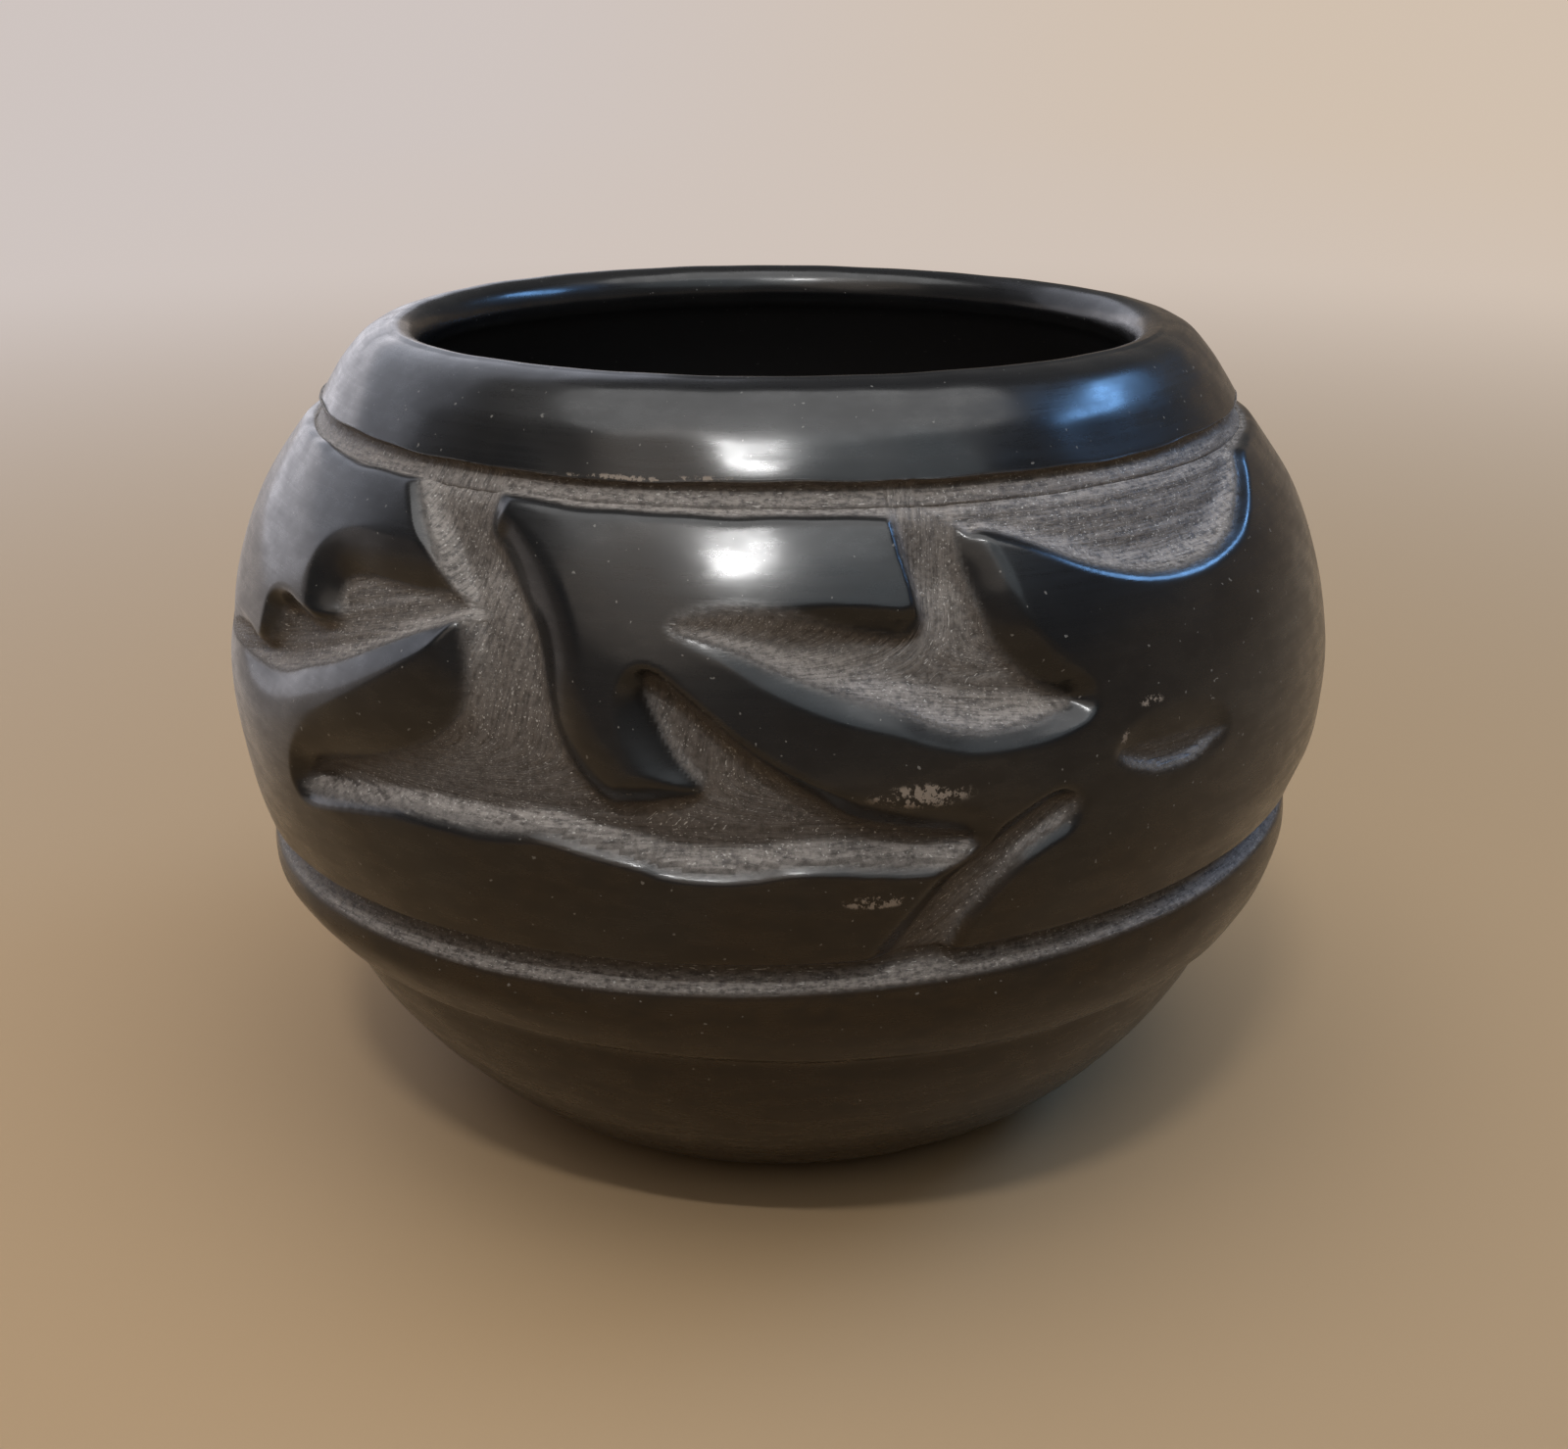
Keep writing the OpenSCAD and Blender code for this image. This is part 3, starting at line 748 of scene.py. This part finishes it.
# Colours of the floor and of the distance on the left and on the right
TAN_FLOOR = (0.34, 0.232, 0.13)
COOL_DISTANCE, WARM_DISTANCE = (0.62, 0.555, 0.53), (0.64, 0.53, 0.43)
# Metres from the bowl over which the floor gives way, and how much of the distance the polish shows
GIVES_WAY = (0.04, 0.9)
DIM_MIRRORED = 0.3


def floor_material():
    """Plain matt floor that gives way, far from the bowl, to an even pale distance, cooler on the left.

    The distance sheds no light of its own. The polish shows it dim, but in full and nearer by
    behind the bowl on the left.
    """
    floor = Finish("pale_floor")
    matt = {"Base Color": TAN_FLOOR, "Roughness": 0.6, "Specular IOR Level": 0.2}
    shader = floor.node("ShaderNodeBsdfPrincipled", matt)[0]
    place = floor.node("ShaderNodeTexCoord")["Object"]
    distance = floor.node("ShaderNodeVectorMath", {0: place}, operation="LENGTH")["Value"]
    axes = floor.node("ShaderNodeSeparateXYZ", {0: place})
    across, back = axes["X"], axes["Y"]
    far = floor.ramp(distance, *GIVES_WAY, 0, 1)
    left_behind = floor.product(floor.ramp(distance, 0.09, 0.24, 0, 1),
                                floor.ramp(across, -0.12, 0.04, 1, 0), floor.ramp(back, -0.04, 0.08, 0, 1))
    mirrored = floor.combine("MAXIMUM", left_behind, floor.ramp(distance, *GIVES_WAY, 0, DIM_MIRRORED))
    ray = floor.node("ShaderNodeLightPath")
    seen = floor.combine("MAXIMUM", ray["Is Camera Ray"], ray["Is Transmission Ray"])
    share = floor.combine("MAXIMUM", floor.product(far, seen),
                          floor.product(mirrored, ray["Is Glossy Ray"]))
    tone = floor.blend(floor.ramp(across, -0.6, 0.8, 0, 1), COOL_DISTANCE, WARM_DISTANCE)
    pale = floor.node("ShaderNodeEmission", {"Color": tone})[0]
    mix = floor.node("ShaderNodeMixShader", {0: share, 1: shader, 2: pale})[0]
    floor.node("ShaderNodeOutputMaterial", {"Surface": mix})
    return floor.material


def make_stage():
    """A pale floor that sweeps up at its rim: a flat run and a quarter round, turned on the axis."""
    near_rings, flat, bend = [0.05, 0.3, 0.8], 2.2, 0.8
    bend_rings, sides = 24, 96
    turn = np.linspace(0, math.pi / 2, bend_rings)
    radius = np.concatenate([near_rings, flat + bend * np.sin(turn)])
    height = np.concatenate([np.zeros(len(near_rings)), bend * (1 - np.cos(turn))])
    angle = np.linspace(0, 2 * math.pi, sides, endpoint=False)
    points = np.stack([radius[:, None] * np.cos(angle), radius[:, None] * np.sin(angle),
                       np.repeat(height[:, None], len(angle), 1)], -1)
    numbers = np.arange(points.size // 3).reshape(len(radius), -1)
    faces = np.vstack([ring_faces(numbers[k + 1], numbers[k]) for k in range(len(radius) - 1)])
    mesh = bpy.data.meshes.new("floor")
    mesh.from_pydata(points.reshape(-1, 3), [], faces.tolist() + [numbers[0].tolist()])
    mesh.polygons.foreach_set("use_smooth", np.ones(len(mesh.polygons), bool))
    floor = bpy.data.objects.new("floor", mesh)
    bpy.context.scene.collection.objects.link(floor)
    floor.data.materials.append(floor_material())


def soft_lamp(name, azimuth, elevation, distance, size, power, colour=(1, 1, 1)):
    """An oval soft lamp that faces the bowl, by degrees round from the front, degrees up and metres."""
    data = bpy.data.lights.new(name, "AREA")
    data.shape = "ELLIPSE"
    data.size, data.size_y = size
    data.energy = power
    data.color = colour
    lamp = bpy.data.objects.new(name, data)
    a, e = math.radians(azimuth), math.radians(elevation)
    aim = np.array([0, 0, bowl_height / 2 * MM])
    offset = distance * np.array([math.sin(a) * math.cos(e), -math.cos(a) * math.cos(e), math.sin(e)])
    lamp.location = aim + offset
    lamp.rotation_euler = (math.radians(90) - e, 0, a)
    lamp.visible_camera = False
    bpy.context.scene.collection.objects.link(lamp)


def make_lights():
    """Soft studio light and a dim surround.

    A narrow lamp high in front gives the two bright spots, a warm and a cool one fill in beside it,
    a broad one hangs overhead, a pale one stands behind on the left and a blue strip on the right.
    """
    soft_lamp("front_lamp", -10, 54.5, 0.9, (0.14, 0.012), 2.1)
    soft_lamp("warm_front", -26, 41, 1.0, (0.8, 0.8), 1.5, (1, 0.85, 0.72))
    soft_lamp("cool_front", 22, 46, 1.0, (1.0, 0.6), 1.5, (0.80, 0.92, 1))
    soft_lamp("overhead", 0, 82, 1.4, (2.2, 1.4), 18.0)
    soft_lamp("left_window", -140, 22, 1.5, (2.0, 1.5), 7.0, (0.82, 0.86, 1))
    soft_lamp("right_strip", 106, 38, 1.0, (0.5, 0.15), 2.8, (0.22, 0.5, 1))
    world = bpy.data.worlds.new("surround")
    bpy.context.scene.world = world
    world.use_nodes = True
    sky = world.node_tree.nodes["Background"]
    sky.inputs["Color"].default_value = (1, 1, 1, 1)
    sky.inputs["Strength"].default_value = 0.12


make_camera()
finishes = {slot: blackware(slot) for slot in ("burnished_blackware", "carved_blackware")}
build_bowl()
make_stage()
make_lights()
bpy.context.scene.view_settings.view_transform = "Standard"
